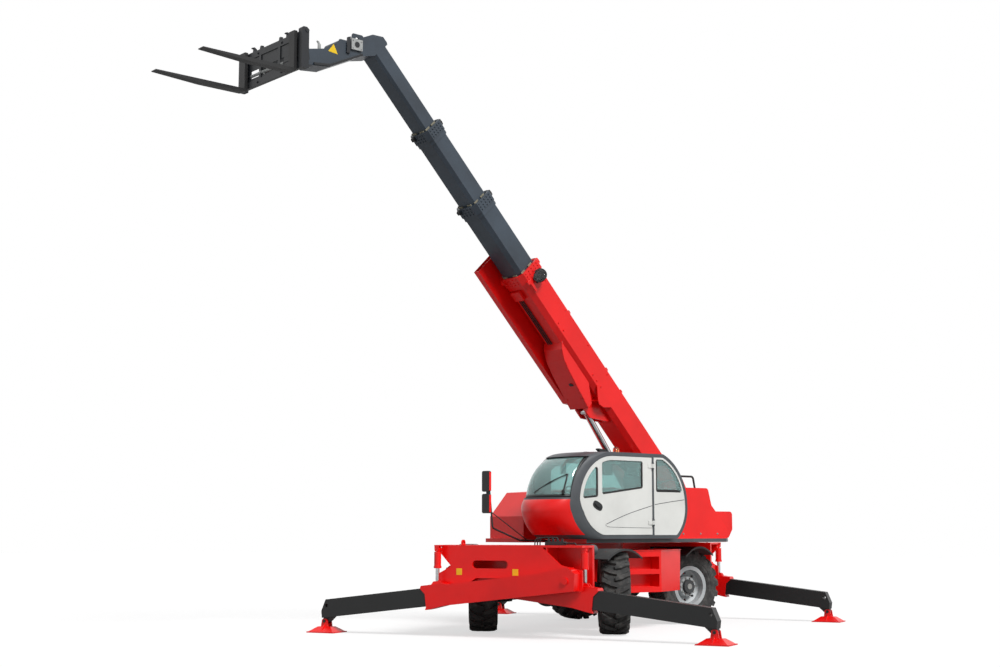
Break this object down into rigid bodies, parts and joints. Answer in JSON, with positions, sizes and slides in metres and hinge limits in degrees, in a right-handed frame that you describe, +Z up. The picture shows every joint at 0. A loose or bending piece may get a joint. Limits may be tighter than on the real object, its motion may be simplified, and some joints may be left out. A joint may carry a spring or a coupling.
{
  "type": "rotating telehandler",
  "caption": "Rotating telescopic handler with a slewing cab turret, an extending boom with pallet forks, four steered wheels and scissor stabilisers.",
  "frame": {"origin": "on the slewing axis, at the ground under the wheels and pads", "axes": "+X the machine's left, -Y forward, +Z up"},
  "size_m": [6.597, 10.2552, 8.5135],
  "materials": {
    "red_paint": "gloss enamel",
    "charcoal_paint": "satin enamel",
    "grey_paint": "satin enamel",
    "rim_paint": "satin enamel",
    "white_paint": "gloss enamel",
    "black_plastic": "moulded",
    "tyre_rubber": "moulded rubber",
    "tinted_glass": "tinted",
    "amber_glass": "amber",
    "chrome_rod": "polished",
    "black_steel": "satin enamel",
    "seat_vinyl": "padded vinyl",
    "cast": "cast"
  },
  "bodies": {
    "chassis": {"chassis_frame": "red_paint", "axle_beams": "cast", "mudguards": "black_plastic", "side_boxes": "red_paint", "headlamps": "grey_paint"},
    "turret": {"turret_frame": "red_paint", "counterweight": "red_paint", "engine_block": "cast", "cab_shell": "grey_paint", "cab_lower_panel": "red_paint", "cab_side_panel": "white_paint", "cab_glass": "tinted_glass", "cab_seat": "seat_vinyl", "mirrors": "black_plastic", "beacon": "amber_glass"},
    "engine_hood": {"engine_cover": "red_paint"},
    "door": {"cab_door": "white_paint", "door_glass": "tinted_glass"},
    "boom": {"boom_base": "red_paint", "boom_tray": "red_paint"},
    "lift_cylinder": {"lift_barrel": "red_paint"},
    "lift_piston": {"lift_rod": "chrome_rod"},
    "section_1": {"boom_section_1": "charcoal_paint"},
    "section_2": {"boom_section_2": "charcoal_paint"},
    "section_3": {"boom_section_3": "charcoal_paint", "boom_head": "charcoal_paint"},
    "carriage": {"fork_carriage": "charcoal_paint", "forks": "black_steel"},
    "hub_front_left": {"knuckle_front_left": "cast"},
    "wheel_front_left": {"rim_front_left": "rim_paint", "tyre_front_left": "tyre_rubber"},
    "hub_front_right": {"knuckle_front_right": "cast"},
    "wheel_front_right": {"rim_front_right": "rim_paint", "tyre_front_right": "tyre_rubber"},
    "hub_rear_left": {"knuckle_rear_left": "cast"},
    "wheel_rear_left": {"rim_rear_left": "rim_paint", "tyre_rear_left": "tyre_rubber"},
    "hub_rear_right": {"knuckle_rear_right": "cast"},
    "wheel_rear_right": {"rim_rear_right": "rim_paint", "tyre_rear_right": "tyre_rubber"},
    "arm_front_right": {"beam_front_right": "red_paint"},
    "arm_slide_front_right": {"beam_slide_front_right": "charcoal_paint"},
    "pad_front_right": {"foot_front_right": "red_paint"},
    "leg_cylinder_front_right": {"leg_barrel_front_right": "red_paint"},
    "leg_piston_front_right": {"leg_rod_front_right": "chrome_rod"},
    "arm_front_left": {"beam_front_left": "red_paint"},
    "arm_slide_front_left": {"beam_slide_front_left": "charcoal_paint"},
    "pad_front_left": {"foot_front_left": "red_paint"},
    "leg_cylinder_front_left": {"leg_barrel_front_left": "red_paint"},
    "leg_piston_front_left": {"leg_rod_front_left": "chrome_rod"},
    "arm_rear_left": {"beam_rear_left": "red_paint"},
    "arm_slide_rear_left": {"beam_slide_rear_left": "charcoal_paint"},
    "pad_rear_left": {"foot_rear_left": "red_paint"},
    "leg_cylinder_rear_left": {"leg_barrel_rear_left": "red_paint"},
    "leg_piston_rear_left": {"leg_rod_rear_left": "chrome_rod"},
    "arm_rear_right": {"beam_rear_right": "red_paint"},
    "arm_slide_rear_right": {"beam_slide_rear_right": "charcoal_paint"},
    "pad_rear_right": {"foot_rear_right": "red_paint"},
    "leg_cylinder_rear_right": {"leg_barrel_rear_right": "red_paint"},
    "leg_piston_rear_right": {"leg_rod_rear_right": "chrome_rod"}
  },
  "joints": [
    {"name": "slew", "type": "hinge", "parent": "chassis", "child": "turret", "pos_m": [0, 0, 1.3], "axis": [0, 0, 1], "continuous": true},
    {"name": "boom_lift", "type": "hinge", "parent": "turret", "child": "boom", "pos_m": [0.6181, 1.52985, 2.17], "axis": [-0.9272, 0.3746, 0], "range_deg": [-46, 32]},
    {"name": "lift_cylinder_pivot", "type": "hinge", "parent": "turret", "child": "lift_cylinder", "pos_m": [0.50572, 1.2517, 1.49], "axis": [-0.9272, 0.3746, 0], "range_deg": [-41.01, 28.59]},
    {"name": "lift_piston_slide", "type": "slide", "parent": "lift_cylinder", "child": "lift_piston", "axis": [-0.229, -0.5667, 0.7914], "range_m": [-0.5061, 0.3527]},
    {"name": "boom_extend_1", "type": "slide", "parent": "boom", "child": "section_1", "axis": [-0.2602, -0.6441, 0.7193], "range_m": [-1, 2.2]},
    {"name": "boom_extend_2", "type": "slide", "parent": "section_1", "child": "section_2", "axis": [-0.2602, -0.6441, 0.7193], "range_m": [-1, 2.2]},
    {"name": "boom_extend_3", "type": "slide", "parent": "section_2", "child": "section_3", "axis": [-0.2602, -0.6441, 0.7193], "range_m": [-1, 2.2]},
    {"name": "fork_tilt", "type": "hinge", "parent": "section_3", "child": "carriage", "pos_m": [-2.08599, -5.16301, 7.93877], "axis": [-0.9272, 0.3746, 0], "range_deg": [-50, 20]},
    {"name": "hood_hinge", "type": "hinge", "parent": "turret", "child": "engine_hood", "pos_m": [-0.36717, 0.14834, 2.08], "axis": [0.3746, 0.9272, 0], "range_deg": [0, 55]},
    {"name": "door_hinge", "type": "hinge", "parent": "turret", "child": "door", "pos_m": [1.22963, -0.44288, 1.9], "axis": [0, 0, 1], "range_deg": [0, 90]},
    {"name": "steer_front_left", "type": "hinge", "parent": "chassis", "child": "hub_front_left", "pos_m": [0.76, -1.575, 0.59], "axis": [0, 0, 1], "range_deg": [-62, 8]},
    {"name": "spin_front_left", "type": "hinge", "parent": "hub_front_left", "child": "wheel_front_left", "pos_m": [0.99612, -1.45469, 0.59], "axis": [0.891, 0.454, 0], "continuous": true},
    {"name": "steer_front_right", "type": "hinge", "parent": "chassis", "child": "hub_front_right", "pos_m": [-0.76, -1.575, 0.59], "axis": [0, 0, 1], "range_deg": [-62, 8]},
    {"name": "spin_front_right", "type": "hinge", "parent": "hub_front_right", "child": "wheel_front_right", "pos_m": [-0.99612, -1.69531, 0.59], "axis": [0.891, 0.454, 0], "continuous": true},
    {"name": "steer_rear_left", "type": "hinge", "parent": "chassis", "child": "hub_rear_left", "pos_m": [0.76, 1.575, 0.59], "axis": [0, 0, 1], "range_deg": [-5, 65]},
    {"name": "spin_rear_left", "type": "hinge", "parent": "hub_rear_left", "child": "wheel_rear_left", "pos_m": [0.9895, 1.4425, 0.59], "axis": [0.866, -0.5, 0], "continuous": true},
    {"name": "steer_rear_right", "type": "hinge", "parent": "chassis", "child": "hub_rear_right", "pos_m": [-0.76, 1.575, 0.59], "axis": [0, 0, 1], "range_deg": [-5, 65]},
    {"name": "spin_rear_right", "type": "hinge", "parent": "hub_rear_right", "child": "wheel_rear_right", "pos_m": [-0.9895, 1.7075, 0.59], "axis": [0.866, -0.5, 0], "continuous": true},
    {"name": "arm_front_right_swing", "type": "hinge", "parent": "chassis", "child": "arm_front_right", "pos_m": [0.95, -2.93, 0.8], "axis": [0, 1, 0], "range_deg": [-1, 5]},
    {"name": "arm_slide_front_right_run", "type": "slide", "parent": "arm_front_right", "child": "arm_slide_front_right", "axis": [-0.9933, 0, -0.1155], "range_m": [-1.45, 0.1]},
    {"name": "pad_front_right_level", "type": "hinge", "parent": "arm_slide_front_right", "child": "pad_front_right", "pos_m": [-2.95278, -2.93, 0.165], "axis": [0, 1, 0], "range_deg": [-5.2, 1.2]},
    {"name": "leg_cylinder_front_right_pivot", "type": "hinge", "parent": "chassis", "child": "leg_cylinder_front_right", "pos_m": [-1.085, -2.93, 1.215], "axis": [0, 1, 0], "range_deg": [-0.253, 0.211]},
    {"name": "leg_piston_front_right_slide", "type": "slide", "parent": "leg_cylinder_front_right", "child": "leg_piston_front_right", "axis": [-0.0034, 0, -1], "range_m": [-0.1797, 0.0375]},
    {"name": "arm_front_left_swing", "type": "hinge", "parent": "chassis", "child": "arm_front_left", "pos_m": [-0.95, -2.665, 0.8], "axis": [0, -1, 0], "range_deg": [-1, 5]},
    {"name": "arm_slide_front_left_run", "type": "slide", "parent": "arm_front_left", "child": "arm_slide_front_left", "axis": [0.9933, 0, -0.1155], "range_m": [-1.45, 0.1]},
    {"name": "pad_front_left_level", "type": "hinge", "parent": "arm_slide_front_left", "child": "pad_front_left", "pos_m": [2.95278, -2.665, 0.165], "axis": [0, -1, 0], "range_deg": [-5.2, 1.2]},
    {"name": "leg_cylinder_front_left_pivot", "type": "hinge", "parent": "chassis", "child": "leg_cylinder_front_left", "pos_m": [1.085, -2.665, 1.215], "axis": [0, -1, 0], "range_deg": [-0.253, 0.211]},
    {"name": "leg_piston_front_left_slide", "type": "slide", "parent": "leg_cylinder_front_left", "child": "leg_piston_front_left", "axis": [0.0034, 0, -1], "range_m": [-0.1797, 0.0375]},
    {"name": "arm_rear_left_swing", "type": "hinge", "parent": "chassis", "child": "arm_rear_left", "pos_m": [-0.95, 2.93, 0.8], "axis": [0, -1, 0], "range_deg": [-1, 5]},
    {"name": "arm_slide_rear_left_run", "type": "slide", "parent": "arm_rear_left", "child": "arm_slide_rear_left", "axis": [0.9933, 0, -0.1155], "range_m": [-1.45, 0.1]},
    {"name": "pad_rear_left_level", "type": "hinge", "parent": "arm_slide_rear_left", "child": "pad_rear_left", "pos_m": [2.95278, 2.93, 0.165], "axis": [0, -1, 0], "range_deg": [-5.2, 1.2]},
    {"name": "leg_cylinder_rear_left_pivot", "type": "hinge", "parent": "chassis", "child": "leg_cylinder_rear_left", "pos_m": [1.085, 2.93, 1.215], "axis": [0, -1, 0], "range_deg": [-0.253, 0.211]},
    {"name": "leg_piston_rear_left_slide", "type": "slide", "parent": "leg_cylinder_rear_left", "child": "leg_piston_rear_left", "axis": [0.0034, 0, -1], "range_m": [-0.1797, 0.0375]},
    {"name": "arm_rear_right_swing", "type": "hinge", "parent": "chassis", "child": "arm_rear_right", "pos_m": [0.95, 2.665, 0.8], "axis": [0, 1, 0], "range_deg": [-1, 5]},
    {"name": "arm_slide_rear_right_run", "type": "slide", "parent": "arm_rear_right", "child": "arm_slide_rear_right", "axis": [-0.9933, 0, -0.1155], "range_m": [-1.45, 0.1]},
    {"name": "pad_rear_right_level", "type": "hinge", "parent": "arm_slide_rear_right", "child": "pad_rear_right", "pos_m": [-2.95278, 2.665, 0.165], "axis": [0, 1, 0], "range_deg": [-5.2, 1.2]},
    {"name": "leg_cylinder_rear_right_pivot", "type": "hinge", "parent": "chassis", "child": "leg_cylinder_rear_right", "pos_m": [-1.085, 2.665, 1.215], "axis": [0, 1, 0], "range_deg": [-0.253, 0.211]},
    {"name": "leg_piston_rear_right_slide", "type": "slide", "parent": "leg_cylinder_rear_right", "child": "leg_piston_rear_right", "axis": [-0.0034, 0, -1], "range_m": [-0.1797, 0.0375]}
  ],
  "couplings": [
    {"joint": "lift_cylinder_pivot", "follows": "boom_lift", "ratio": 0.88722},
    {"joint": "lift_piston_slide", "follows": "boom_lift", "m_per_rad": 0.62794},
    {"joint": "boom_extend_2", "follows": "boom_extend_1", "ratio": 1},
    {"joint": "boom_extend_3", "follows": "boom_extend_1", "ratio": 1},
    {"joint": "steer_front_right", "follows": "steer_front_left", "ratio": 1},
    {"joint": "steer_rear_right", "follows": "steer_rear_left", "ratio": 1},
    {"joint": "pad_front_right_level", "follows": "arm_front_right_swing", "ratio": -1},
    {"joint": "leg_cylinder_front_right_pivot", "follows": "arm_front_right_swing", "ratio": -0.01059},
    {"joint": "leg_piston_front_right_slide", "follows": "arm_front_right_swing", "m_per_rad": -2.036},
    {"joint": "pad_front_left_level", "follows": "arm_front_left_swing", "ratio": -1},
    {"joint": "leg_cylinder_front_left_pivot", "follows": "arm_front_left_swing", "ratio": -0.01059},
    {"joint": "leg_piston_front_left_slide", "follows": "arm_front_left_swing", "m_per_rad": -2.036},
    {"joint": "pad_rear_left_level", "follows": "arm_rear_left_swing", "ratio": -1},
    {"joint": "leg_cylinder_rear_left_pivot", "follows": "arm_rear_left_swing", "ratio": -0.01059},
    {"joint": "leg_piston_rear_left_slide", "follows": "arm_rear_left_swing", "m_per_rad": -2.036},
    {"joint": "pad_rear_right_level", "follows": "arm_rear_right_swing", "ratio": -1},
    {"joint": "leg_cylinder_rear_right_pivot", "follows": "arm_rear_right_swing", "ratio": -0.01059},
    {"joint": "leg_piston_rear_right_slide", "follows": "arm_rear_right_swing", "m_per_rad": -2.036}
  ]
}
